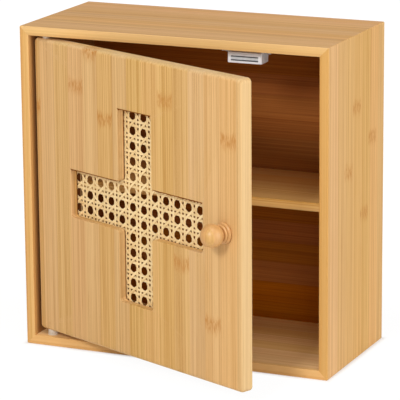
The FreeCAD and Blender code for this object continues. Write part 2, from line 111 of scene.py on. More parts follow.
# Head outlines from the shank outwards and up: shares of the head's radius and of its height
flat_outline = ((1.0, 0.0), (1.0, 0.6), (0.85, 1.0))
pan_outline = ((1.0, 0.0), (1.0, 0.4), (0.9, 0.7), (0.7, 0.9), (0.4, 1.0))
sunk_outline = ((1.0, 0.9), (1.0, 1.0))

# Bars that cut the driver's cross: length and width as shares of the head's radius, height of its height
bar_length, bar_width, bar_height = 1.1, 0.28, 1.2

# Vertices nearer than this are joined
weld_distance = 0.001 * MM

# Laminated bamboo: strips glued side by side in layers, each layer set over by a share of a strip
strip_width = 20.0 * MM
panel_layer = 2.84 * MM
door_layer = 4.27 * MM
layer_stagger = 0.39

# Every strip takes its grain from another place, up to this far away
strip_shift = 3.0

# Grain of the bamboo: cycles per metre along and across the strips
streak_cycles = (1.6, 230.0)
line_cycles = (3.0, 780.0)
vessel_cycles = (30.0, 1700.0)
dash_cycles = (190.0, 1000.0)
ragged_cycles = (25.0, 800.0)

# Noise at which vessels and dashes start to show and show in full
vessel_ramp = (0.56, 0.74)
dash_ramp = (0.42, 0.60)

# Place between the pale and the deep tone: its middle, and how far each cause moves it
depth_middle = 0.415
strip_swing = 0.26
streak_swing = 0.55
line_swing = 2.3
vessel_depth = 0.22

# Tint of a strip: setting, channel of the strip's random colour, neutral value and how far it varies
tint_swings = (("Hue", "Red", 0.5, 0.01), ("Saturation", "Green", 1.0, 0.1), ("Value", "Blue", 1.0, 0.04))

# Mark of a stem joint: rise to the strip's borders, unevenness, reach above and below, shares of its tone
joint_bow = 3.0 * MM
joint_ragged = 14.0 * MM
joint_core = 1.0 * MM
joint_above = 8.0 * MM
joint_below = 12.0 * MM
joint_dash_share = 0.62
joint_cloud_share = 0.14

# Glue line between two strips
glue_core = 0.05 * MM
glue_reach = 0.4 * MM
glue_share = 0.22

# Surface of the bamboo: what its lines, vessels and glue lines add to or take from its relief
line_relief, vessel_relief, glue_relief = 0.6, 0.3, 0.5
wood_relief = 0.05 * MM
lacquer = {"IOR": 1.45, "Specular_IOR_Level": 0.1}

# The tone of a board's edges is full up to this distance from the edge and then fades
edge_core = 0.2 * MM

# Breadth of the painted shade round the cane and in its frame
painted_shade_step = 0.8 * MM

# Painted shade on the inner faces of the sides: depth of the tone, where it starts and is full, and its share
inner_skin = (0.6 * MM, 0.2 * MM)
inner_start = 2.0 * MM
inner_full = 9.0 * MM
inner_share = 0.7

# Stem joints: their height along each strip in millimetres, past the end of a strip where it shows none
no_joint = 400
door_joints = (
    211, no_joint, no_joint, 238, 271, 213, 140, 140,
    137, 242, 101, no_joint, 54, 219, no_joint,
)
side_joints = (no_joint, no_joint, 179, 234, 133, 199, no_joint)

# Strips that the stepped ramp of joint heights has room for
strip_steps = 16

# Grain of the cane: cycles along a strand and round it, cycles of its patches, and the step between strands
cane_line_cycles = (60.0, 9.0)
cane_patch_cycles = 45.0
cane_strand_step = 40.0

# Finish of the cane: the place between its pale and its deep tone, by strand and by line, then its patches
cane_depth_start = -0.42
cane_strand_swing = 0.45
cane_line_swing = 0.9
cane_patch_ramp = (0.58, 0.8)
cane_patch_share = 0.4
cane_rough = (0.36, 0.5)
cane_relief = 0.03 * MM

# Relief of metal and plastic, and the strength of all reliefs
fine_relief = 0.01 * MM
moulded_relief = 0.015 * MM
bump_strength = 0.6

# Camera
image_side = 400
focal_pixels = 2606.3
sensor_width = 36.0
camera_aim = Vector((-1.6, -4.6, 136.1)) * MM
camera_azimuth = 24.13
camera_elevation = 14.05
camera_distance = 2397.0 * MM
camera_roll = -0.49
camera_reach = 100.0

# Room light
room_light = 0.35
room_tint = (1.0, 0.9, 0.78, 1.0)
white = (1.0, 1.0, 1.0, 1.0)

# Lamps: azimuth and elevation in degrees, distance and size in metres, and the light on a face turned to them
cabinet_middle = Vector((0.0, 0.0, cabinet_height / 2))
lamps = {
    "key": (0.0, 28.0, 1.8, 0.32, 0.41),
    "top": (24.0, 66.0, 2.0, 1.0, 0.25),
    "front": (36.0, 15.0, 2.2, 1.4, 0.16),
    "side": (86.0, 13.0, 2.0, 1.2, 0.36),
}

# Floor: half its side, its grey and its white, and the share of white, which grows away from the cabinet
floor_half_side = 12.0
floor_grey = (0.9, 0.9, 0.9, 1.0)
floor_white = 1.05
near_reach = 5.0 * MM
near_share_start, near_share_end = 0.4, 0.9
far_start, far_end = 0.03, 0.3
far_share = 0.1


def paint(red, green, blue):
    """Colour from its monitor values, 0 to 255, as the linear colour that shaders take."""
    linear = []
    for value in (red, green, blue):
        share = value / 255
        linear.append(share / 12.92 if share <= 0.04045 else ((share + 0.055) / 1.055) ** 2.4)
    return (*linear, 1.0)


# Tones of the boards: pale, deep, and that of stem joints and glue lines
mark_tone = paint(184, 122, 54)
board_tones = (paint(231, 190, 131), paint(196, 146, 86), paint(188, 128, 60))
top_tones = (paint(225, 180, 123), paint(192, 138, 80), mark_tone)
# Painted light: the bottom panel takes paler tones that stand in for light reaching the inside of the cabinet
bottom_lit_tones = (paint(250, 210, 148), paint(224, 172, 106), mark_tone)
door_tones = (paint(222, 183, 127), paint(186, 140, 82), mark_tone)
# Painted light: the shelf takes paler tones for the same light inside the cabinet
shelf_lit_tones = (paint(255, 212, 140), paint(232, 170, 94), mark_tone)
knob_tones = (paint(206, 158, 94), paint(190, 140, 76), mark_tone)
# The back's darker, redder tones are painted shade, standing in for the shade deep inside the cabinet
back_shade_tones = (paint(172, 102, 36), paint(138, 75, 23), paint(98, 48, 12))

# Tones of the boards' edges, and the darker tones of painted shade round the cane, in its frame and on the
# inner faces of the sides
top_edge_tone = paint(228, 190, 127)
bottom_edge_tone = paint(219, 171, 109)
front_edge_tone = paint(208, 159, 88)
# The door's pale edge tone is partly its paler end and side grain and partly a painted highlight on its
# rounded edges
door_edge_grain_and_highlight_tone = paint(228, 206, 160)
cane_shade_tone = paint(124, 70, 14)
frame_shade_tone = paint(84, 42, 12)
inner_shade_tone = paint(134, 76, 30)

# Tones of the cane: pale, deep and that of its patches
cane_tones = (paint(246, 219, 166), paint(216, 176, 110), paint(190, 144, 80))

# Tones of plastic and metal: the colour and what it drifts to
nylon_tones = (paint(214, 202, 186), paint(200, 188, 172))
moulded_tones = (paint(240, 241, 245), paint(230, 232, 238))
plated_tones = (paint(190, 190, 188), paint(164, 166, 168))
nickel_tones = (paint(222, 226, 228), paint(206, 211, 214))
dark_steel_tones = (paint(84, 88, 92), paint(66, 70, 74))


def node(tree, kind, inputs=None, **options):
    """Add a node, set its options, then set or link its inputs by name or number."""
    made = tree.nodes.new(kind)
    for option, value in options.items():
        setattr(made, option, value)
    for key, value in (inputs or {}).items():
        if isinstance(value, bpy.types.NodeSocket):
            tree.links.new(value, made.inputs[key])
        else:
            made.inputs[key].default_value = value
    return made


def calc(tree, operation, *values, clamp=False):
    """Result of a Math node on numbers or sockets."""
    made = node(tree, "ShaderNodeMath", dict(enumerate(values)), operation=operation, use_clamp=clamp)
    return made.outputs[0]


def vector_calc(tree, operation, first, second):
    """Vector that a Vector Math node makes of two others."""
    return node(tree, "ShaderNodeVectorMath", {0: first, 1: second}, operation=operation).outputs[0]


def ramp_up(tree, value, low, high, start=0.0, end=1.0):
    """Smooth step of a value from low to high."""
    inputs = {"Value": value, "From Min": low, "From Max": high, "To Min": start, "To Max": end}
    return node(tree, "ShaderNodeMapRange", inputs, interpolation_type="SMOOTHSTEP").outputs["Result"]


def blend(tree, share, first, second):
    """Mix of two colours."""
    return node(tree, "ShaderNodeMix", {0: share, 6: first, 7: second}, data_type="RGBA").outputs[2]


def noise(tree, place, cycles, detail):
    """Even noise with so many cycles per metre."""
    inputs = {"Vector": place, "Scale": cycles, "Detail": detail}
    return node(tree, "ShaderNodeTexNoise", inputs).outputs["Fac"]


def grain(tree, place, cycles, detail=2.0):
    """Noise drawn out along the strips: cycles per metre along and across them."""
    along, across = cycles
    return noise(tree, vector_calc(tree, "MULTIPLY", place, (along, across, across)), 1.0, detail)


def strip_wood():
    """Shader group for glued strips of bamboo: X runs along a strip, Y across it, Z through the layers."""
    tree = bpy.data.node_groups.new("strip wood", "ShaderNodeTree")
    sockets = [
        ("Place", "NodeSocketVector"),
        ("Across", "NodeSocketFloat"),
        ("Layer", "NodeSocketFloat"),
        ("Seed", "NodeSocketFloat"),
        ("Joint", "NodeSocketFloat"),
        ("Edge", "NodeSocketFloat"),
        ("Edge tone", "NodeSocketColor"),
        ("Pale", "NodeSocketColor"),
        ("Deep", "NodeSocketColor"),
        ("Mark", "NodeSocketColor"),
    ]
    for name, kind in sockets:
        tree.interface.new_socket(name, in_out="INPUT", socket_type=kind)
    for name, kind in (("Color", "NodeSocketColor"), ("Height", "NodeSocketFloat")):
        tree.interface.new_socket(name, in_out="OUTPUT", socket_type=kind)
    given = node(tree, "NodeGroupInput").outputs
    split = node(tree, "ShaderNodeSeparateXYZ", {0: given["Place"]}).outputs

    # Which strip of which layer, and what is drawn for it
    layer = calc(tree, "FLOOR", calc(tree, "DIVIDE", split["Z"], given["Layer"]))
    across = calc(tree, "MULTIPLY_ADD", layer, layer_stagger, given["Across"])
    strip = calc(tree, "FLOOR", across)
    inside = calc(tree, "FRACT", across)
    cell = node(tree, "ShaderNodeCombineXYZ", {0: strip, 1: layer, 2: given["Seed"]}).outputs[0]
    draw = node(tree, "ShaderNodeTexWhiteNoise", {"Vector": cell}, noise_dimensions="3D").outputs
    drawn = node(tree, "ShaderNodeSeparateColor", {0: draw["Color"]}).outputs
    shift = vector_calc(tree, "MULTIPLY", draw["Color"], (strip_shift, strip_shift, strip_shift))
    place = vector_calc(tree, "ADD", given["Place"], shift)

    # Fibres: broad streaks, fine lines and short dark vessels
    streaks = grain(tree, place, streak_cycles)
    lines = grain(tree, place, line_cycles, 3.0)
    vessels = ramp_up(tree, grain(tree, place, vessel_cycles, 1.0), *vessel_ramp)
    depth = depth_middle
    for value, swing in ((draw["Value"], strip_swing), (streaks, streak_swing), (lines, line_swing)):
        depth = calc(tree, "MULTIPLY_ADD", calc(tree, "SUBTRACT", value, 0.5), swing, depth)
    depth = calc(tree, "MULTIPLY_ADD", vessels, vessel_depth, depth, clamp=True)
    tint = {"Color": blend(tree, depth, given["Pale"], given["Deep"])}
    for setting, channel, neutral, swing in tint_swings:
        tint[setting] = calc(tree, "MULTIPLY_ADD", drawn[channel], swing, neutral - swing / 2)
    color = node(tree, "ShaderNodeHueSaturation", tint).outputs[0]

    # Long edges of the board
    color = blend(tree, given["Edge"], color, given["Edge tone"])

    # Joint of the bamboo stem: a bowed cluster of dashes, shorter above than below
    middle = calc(tree, "SUBTRACT", inside, 0.5)
    bow = calc(tree, "MULTIPLY", calc(tree, "MULTIPLY", middle, middle), 4 * joint_bow)
    ragged = calc(tree, "MULTIPLY_ADD", grain(tree, place, ragged_cycles), joint_ragged, -joint_ragged / 2)
    offset = calc(tree, "SUBTRACT", calc(tree, "SUBTRACT", split["X"], given["Joint"]), bow)
    offset = calc(tree, "ADD", offset, ragged)
    above = ramp_up(tree, offset, joint_core, joint_above, 1.0, 0.0)
    below = ramp_up(tree, offset, -joint_below, -joint_core)
    near = calc(tree, "MULTIPLY", above, below)
    dashes = ramp_up(tree, grain(tree, place, dash_cycles, 1.0), *dash_ramp)
    mark = calc(tree, "MULTIPLY_ADD", dashes, joint_dash_share, joint_cloud_share)
    color = blend(tree, calc(tree, "MULTIPLY", mark, near), color, given["Mark"])

    # Glue line between strips
    border = calc(tree, "MINIMUM", inside, calc(tree, "SUBTRACT", 1.0, inside))
    from_border = calc(tree, "MULTIPLY", border, strip_width)
    glue = ramp_up(tree, from_border, glue_core, glue_reach, 1.0, 0.0)
    color = blend(tree, calc(tree, "MULTIPLY", glue, glue_share), color, given["Mark"])

    # Relief: raised lines, sunk vessels and glue lines
    height = calc(tree, "MULTIPLY", lines, line_relief)
    for groove, relief in ((vessels, vessel_relief), (glue, glue_relief)):
        height = calc(tree, "SUBTRACT", height, calc(tree, "MULTIPLY", groove, relief))
    node(tree, "NodeGroupOutput", {"Color": color, "Height": height})
    return tree


def new_material(name):
    """Material with a node tree of its own."""
    material = bpy.data.materials.new(name)
    material.use_nodes = True
    return material


def finish_with(material, color, rough, height, depth, **constants):
    """Shader of a material: linked colour, roughness and bump, and constants set on its own sockets."""
    tree = material.node_tree
    shader = tree.nodes["Principled BSDF"]
    tree.links.new(color, shader.inputs["Base Color"])
    tree.links.new(rough, shader.inputs["Roughness"])
    bump = node(tree, "ShaderNodeBump", {"Strength": bump_strength, "Distance": depth, "Height": height})
    tree.links.new(bump.outputs["Normal"], shader.inputs["Normal"])
    for name, value in constants.items():
        shader.inputs[name.replace("_", " ")].default_value = value
    return material


def joint_height(tree, across, joints):
    """Height of the stem joint on the strip that a point lies in: a stepped ramp, one step per strip."""
    made = node(tree, "ShaderNodeValToRGB", {"Fac": calc(tree, "DIVIDE", across, strip_steps)})
    ramp = made.color_ramp
    ramp.interpolation = "CONSTANT"
    ramp.elements.remove(ramp.elements[1])
    for strip, height in enumerate(joints):
        step = ramp.elements.new(strip / strip_steps) if strip else ramp.elements[0]
        step.color = (height * MM, height * MM, height * MM, 1.0)
    return made.outputs["Color"]


def outside_cross(tree, aside, up):
    """How far a point of the door lies outside the window, less than none inside it."""
    beside_arm = calc(tree, "SUBTRACT", aside, cross_arm / 2)
    beside_end = calc(tree, "SUBTRACT", aside, cross_length / 2)
    height = calc(tree, "ABSOLUTE", up)
    upright = calc(tree, "MAXIMUM", beside_arm, calc(tree, "SUBTRACT", height, cross_length / 2))
    level = calc(tree, "MAXIMUM", beside_end, calc(tree, "SUBTRACT", height, cross_arm / 2))
    return calc(tree, "MINIMUM", upright, level)


def window_painted_shade(tree, along, wide, through):
    """Painted shade round the cane: a shade line in the gap at the foot of the window's side walls, and a
    painted shadow cast by its upper edges.
    """
    aside = calc(tree, "ABSOLUTE", calc(tree, "SUBTRACT", wide, door_middle.x - door_left))
    up = calc(tree, "SUBTRACT", along, door_middle.y - door_bottom)
    here = outside_cross(tree, aside, up)
    below = outside_cross(tree, aside, calc(tree, "SUBTRACT", up, painted_shade_step))
    rise = calc(tree, "DIVIDE", calc(tree, "SUBTRACT", here, below), painted_shade_step)
    near = ramp_up(tree, calc(tree, "ABSOLUTE", here), painted_shade_step, 1.6 * painted_shade_step, 1.0, 0.0)
    foot_depth = cane_front - door_front
    foot = ramp_up(tree, through, foot_depth - 1.6 * painted_shade_step, foot_depth - 0.6 * painted_shade_step)
    lip = ramp_up(tree, through, painted_shade_step, 2 * painted_shade_step, 1.0, 0.0)
    at_side = calc(tree, "MULTIPLY", foot, calc(tree, "SUBTRACT", 1.0, calc(tree, "ABSOLUTE", rise)))
    at_top = calc(tree, "MULTIPLY", lip, calc(tree, "MAXIMUM", rise, 0.0))
    return calc(tree, "MULTIPLY", near, calc(tree, "MAXIMUM", at_side, at_top), clamp=True)


def left_inner_shade(tree, along, wide, through):
    """Painted shade on the inner face of the left side, growing from just behind its front edge."""
    inner = ramp_up(tree, through, *(side_thickness - depth for depth in inner_skin))
    return calc(tree, "MULTIPLY", inner, ramp_up(tree, wide, inner_start, inner_full, 0.0, inner_share))


def right_inner_shade(tree, along, wide, through):
    """Painted shade on the inner face of the right side, as on the left."""
    return left_inner_shade(tree, along, wide, calc(tree, "SUBTRACT", side_thickness, through))


def frame_painted_shade(tree, along, wide, through):
    """Painted shade on all of the cane's frame but its back face, darkening its inner walls behind the cane.
    """
    back_depth = door_back - door_front
    return ramp_up(tree, through, back_depth - painted_shade_step, back_depth - 0.4 * painted_shade_step, 1.0, 0.0)


strip_group = strip_wood()


def bamboo(
    name, corner, order, seed,
    joints=(no_joint,), first=0.0, layer=panel_layer, strip=strip_width, tones=board_tones, turn=None,
    width=1.0, length=math.inf, edge_reach=1.2 * MM, edge=(front_edge_tone, 0.0),
    rough=(0.62, 0.5), seam=None, **constants
):
    """Lacquered bamboo whose strips start at a corner; order names the axes along, across and through.

    The first strip lacks a share of its width. A board of a given width takes a share of another tone within
    reach of its two long edges, and of its ends if its length is given. A painted shade is a function for the
    share of a darker tone that stands in for shade, and that tone.
    """
    material = new_material(name)
    tree = material.node_tree
    place = node(tree, "ShaderNodeTexCoord").outputs["Object"]
    back = (turn or Matrix.Identity(4)).inverted()
    where = {"Location": back.to_translation() - corner, "Rotation": back.to_euler()}
    local = node(tree, "ShaderNodeMapping", {"Vector": place, **where}).outputs[0]
    split = node(tree, "ShaderNodeSeparateXYZ", {0: local}).outputs
    along, wide, through = [split[axis] for axis in order]
    across = calc(tree, "MULTIPLY_ADD", wide, 1 / strip, first)
    to_edge = calc(tree, "MINIMUM", wide, calc(tree, "SUBTRACT", width, wide))
    if length < math.inf:
        to_end = calc(tree, "MINIMUM", along, calc(tree, "SUBTRACT", length, along))
        to_edge = calc(tree, "MINIMUM", to_edge, to_end)
    edge_tone, edge_share = edge
    pale, deep, mark = tones
    inputs = {
        "Place": node(tree, "ShaderNodeCombineXYZ", {0: along, 1: wide, 2: through}).outputs[0],
        "Across": across,
        "Layer": layer,
        "Seed": seed,
        "Joint": joint_height(tree, across, joints),
        "Edge": ramp_up(tree, to_edge, edge_core, edge_reach, edge_share, 0.0),
        "Edge tone": edge_tone,
        "Pale": pale,
        "Deep": deep,
        "Mark": mark,
    }
    wood = node(tree, "ShaderNodeGroup", inputs, node_tree=strip_group).outputs
    color, height = wood["Color"], wood["Height"]
    # Painted shade: a darker tone blended in where shade falls
    if seam:
        share, dark = seam
        color = blend(tree, share(tree, along, wide, through), color, dark)
    gloss = ramp_up(tree, height, 0.0, 0.6, *rough)
    return finish_with(material, color, gloss, height, wood_relief, **{**lacquer, **constants})


def speckled(name, tones, cycles, rough, depth=fine_relief, **constants):
    """Moulded or plated finish: a colour that drifts a little, with a fine grain in its gloss and surface."""
    material = new_material(name)
    tree = material.node_tree
    place = node(tree, "ShaderNodeTexCoord").outputs["Object"]
    drift = noise(tree, place, cycles / 8, 3.0)
    fine = noise(tree, place, cycles, 4.0)
    color = blend(tree, ramp_up(tree, drift, 0.3, 0.7), *tones)
    gloss = ramp_up(tree, fine, 0.25, 0.75, *rough)
    return finish_with(material, color, gloss, fine, depth, **constants)


def dress(name, material):
    """Give a CAD node its finish."""
    slots = nodes[name].data.materials
    slots.clear()
    slots.append(material)


# Boards of the carcass: axes along, across and through, seed and looks
carcass_boards = {
    "top_panel": ("XYZ", 0.15, {
        "strip": strip_width / 2,
        "tones": top_tones,
        "edge": (top_edge_tone, 0.6),
    }),
    "bottom_panel": ("XYZ", 3.4, {
        "tones": bottom_lit_tones,
        "edge": (bottom_edge_tone, 0.8),
    }),
    "left_side_panel": ("ZYX", 6.2, {
        "joints": side_joints,
        "edge": (front_edge_tone, 0.25),
        # Painted shade on the side's inner face
        "seam": (left_inner_shade, inner_shade_tone),
    }),
    "right_side_panel": ("ZYX", 9.7, {
        "joints": side_joints,
        # Painted shade on the side's inner face
        "edge": (front_edge_tone, 0.75),
        "seam": (right_inner_shade, inner_shade_tone),
    }),
    "shelf": ("XYZ", 12.3, {"tones": shelf_lit_tones}),
}
for board, (order, seed, looks) in carcass_boards.items():
    near_corner, far_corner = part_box(board)
    board_depth = far_corner[1] - near_corner[1]
    dress(board, bamboo(board, near_corner, order, seed, width=board_depth, **looks))

# Wood of the door
door_corner = Vector((door_left, door_front, door_bottom))
door_looks = {
    "turn": door_turn,
    "layer": door_layer,
    "joints": door_joints,
    "first": 0.6,
    "tones": door_tones,
    "width": door_width,
    "length": door_height,
    "edge_reach": 3.0 * MM,
    "edge": (door_edge_grain_and_highlight_tone, 0.3),
    # Painted shade: dark lines round the cane where shade falls
    "seam": (window_painted_shade, cane_shade_tone),
}
frame_looks = {
    "turn": door_turn,
    "layer": door_layer,
    # Painted shade on the frame's inner walls, so the holes at the window's edges look dark
    "seam": (frame_painted_shade, frame_shade_tone),
}
knob_looks = {
    "turn": door_turn,
    "layer": strip_width,
    "tones": knob_tones,
    "rough": (0.42, 0.36),
    "Specular_IOR_Level": 0.6,
}
dress("door_panel", bamboo("door_panel", door_corner, "ZXY", 21.3, **door_looks))
dress("cane_retainer", bamboo("cane_frame", door_corner, "ZXY", 27.6, **frame_looks))
dress("door_knob", bamboo("turned_knob", door_corner, "ZXY", 31.2, **knob_looks))

# Back panel, splines and dowels; the back panel and the splines take the back's painted shade
back_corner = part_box("back_panel")[0]
shaded_back_wood = bamboo("back_panel", back_corner, "XZY", 17.1, layer=strip_width, tones=back_shade_tones)
dress("back_panel", shaded_back_wood)
dress("corner_splines", shaded_back_wood)
dress("shelf_dowels", bamboo("dowels", Vector(), "XYZ", 41.0))

# Plastic and metal: tones, cycles of the fine grain per metre and roughness
nylon = speckled("nylon", nylon_tones, 900.0, (0.38, 0.5))
moulded = speckled("catch_plastic", moulded_tones, 1400.0, (0.4, 0.55), moulded_relief)
plated = speckled("zinc_plate", plated_tones, 2600.0, (0.24, 0.42), Metallic=1.0)
nickel = speckled("nickel", nickel_tones, 2200.0, (0.45, 0.6))
dark_steel = speckled("dark_steel", dark_steel_tones, 2600.0, (0.5, 0.65))
for name in ("upper_pivot_bush", "lower_pivot_bush", "upper_pivot_spacer", "lower_pivot_spacer"):
    dress(name, nylon)
for name in ("upper_pivot_pin", "lower_pivot_pin", "strike_plate", "left_wall_eyelet", "right_wall_eyelet"):
    dress(name, plated)
dress("catch_housing", moulded)
dress("catch_magnet", nickel)
dress("catch_pole_plates", dark_steel)


def cane_finish():
    """Natural cane: every strand its own straw tone, with fine lines along it and a soft skin gloss."""
    material = new_material("cane")
    tree = material.node_tree
    facts = ("strand_tone", "strand_run", "strand_side")
    stored = [node(tree, "ShaderNodeAttribute", attribute_name=fact) for fact in facts]
    tone, run, side = [fact.outputs["Fac"] for fact in stored]
    strand_place = calc(tree, "MULTIPLY", tone, cane_strand_step)
    place = node(tree, "ShaderNodeCombineXYZ", {0: run, 1: side, 2: strand_place}).outputs[0]
    lines = grain(tree, place, cane_line_cycles)
    patches = noise(tree, place, cane_patch_cycles, 2.0)
    pale, deep, patch = cane_tones
    depth = calc(tree, "MULTIPLY_ADD", lines, cane_line_swing, cane_depth_start)
    depth = calc(tree, "MULTIPLY_ADD", tone, cane_strand_swing, depth, clamp=True)
    color = blend(tree, depth, pale, deep)
    color = blend(tree, ramp_up(tree, patches, *cane_patch_ramp, 0.0, cane_patch_share), color, patch)
    rough = ramp_up(tree, lines, 0.3, 0.7, *cane_rough)
    return finish_with(material, color, rough, lines, cane_relief, IOR=1.47)


def box_stretch(start, direction, half_width, half_height):
    """Part of a line inside a box about the origin, as two distances from its start, or None."""
    low, high = -math.inf, math.inf
    for place, step, reach in zip(start, direction, (half_width, half_height)):
        if abs(step) < 1e-9:
            if abs(place) > reach:
                return None
            continue
        near, far = sorted(((-reach - place) / step, (reach - place) / step))
        low, high = max(low, near), min(high, far)
    return (low, high) if low < high else None


def cross_stretches(start, direction):
    """Parts of a line inside the cross that the cane is cut to."""
    end = cross_length / 2 + cane_margin
    arm = cross_arm / 2 + cane_margin
    found = [box_stretch(start, direction, *halves) for halves in ((arm, end), (end, arm))]
    found = sorted(stretch for stretch in found if stretch)
    if len(found) == 2 and found[1][0] <= found[0][1]:
        return [(found[0][0], max(found[0][1], found[1][1]))]
    return found


def strand_rules():
    """Every strand in the grid of the weave: a point and a direction, then what its wave needs to know.

    The wave counts cells along one axis, and needs the strand's kind, its side and the share of a cell
    that the pair crossing it takes up.
    """
    reach = cross_length / 2 + cane_margin
    columns = int(reach / cane_pitch_across) + 2
    rows = int(reach / cane_pitch_up) + 2
    count_across = Vector((1 / cane_pitch_across, 0.0))
    count_up = Vector((0.0, 1 / cane_pitch_up))
    for column in range(-columns, columns + 1):
        middle = (column + 0.5) * cane_pitch_across
        for side in (-1, 1):
            start = Vector((middle + side * upright_gap / 2, 0.0))
            yield start, Vector((0.0, 1.0)), count_up, 0.0, -side, level_gap / cane_pitch_up
    for row in range(-rows, rows + 1):
        middle = (row + 0.5) * cane_pitch_up
        for side in (-1, 1):
            start = Vector((0.0, middle + side * level_gap / 2))
            yield start, Vector((1.0, 0.0)), count_across, 0.0, side, upright_gap / cane_pitch_across
    for column in range(-2 * columns, 2 * columns + 1):
        start = Vector(((column + 0.5) * cane_pitch_across, 0.0))
        for side in (-1, 1):
            direction = Vector((cane_pitch_across, side * cane_pitch_up)).normalized()
            yield start, direction, count_across, 1.0, side, 1.0


def strand_plan():
    """Mesh of one edge per strand, laid askew and cut to the cross, carrying what the weaving tree needs."""
    plan = bpy.data.meshes.new("strand_plan")
    points, edges, counts, facts = [], [], [], []
    for start, direction, count, *fact in strand_rules():
        start = cane_shift + cane_turn @ start
        direction = cane_turn @ direction
        for stretch in cross_stretches(start, direction):
            edges.append((len(points), len(points) + 1))
            for distance in stretch:
                points.append((*(start + direction * distance), 0.0))
                counts.extend((*(cane_turn @ count), 0.0))
                facts.append(fact)
    plan.from_pydata(points, edges, [])
    plan.attributes.new("count", "FLOAT_VECTOR", "POINT").data.foreach_set("vector", counts)
    for name, values in zip(("diagonal", "side", "pair_share"), zip(*facts)):
        plan.attributes.new(name, "FLOAT", "POINT").data.foreach_set("value", values)
    return plan


def read(tree, name, kind="FLOAT"):
    """Value of a named attribute."""
    return node(tree, "GeometryNodeInputNamedAttribute", {"Name": name}, data_type=kind).outputs["Attribute"]


def store(tree, geometry, name, value):
    """Geometry with a number kept on each point as a named attribute."""
    inputs = {"Geometry": geometry, "Name": name, "Value": value}
    return node(tree, "GeometryNodeStoreNamedAttribute", inputs, data_type="FLOAT", domain="POINT").outputs[0]


def geometry_tree(name, sizes):
    """Empty geometry tree with named inputs of given kinds; gives the tree and its input sockets."""
    tree = bpy.data.node_groups.new(name, "GeometryNodeTree")
    tree.interface.new_socket("Geometry", in_out="INPUT", socket_type="NodeSocketGeometry")
    for size, kind in sizes:
        tree.interface.new_socket(size, in_out="INPUT", socket_type=kind)
    tree.interface.new_socket("Geometry", in_out="OUTPUT", socket_type="NodeSocketGeometry")
    return tree, node(tree, "NodeGroupInput").outputs


def within_one(tree, value):
    """Value kept between minus one and one."""
    return calc(tree, "MAXIMUM", calc(tree, "MINIMUM", value, 1.0), -1.0)


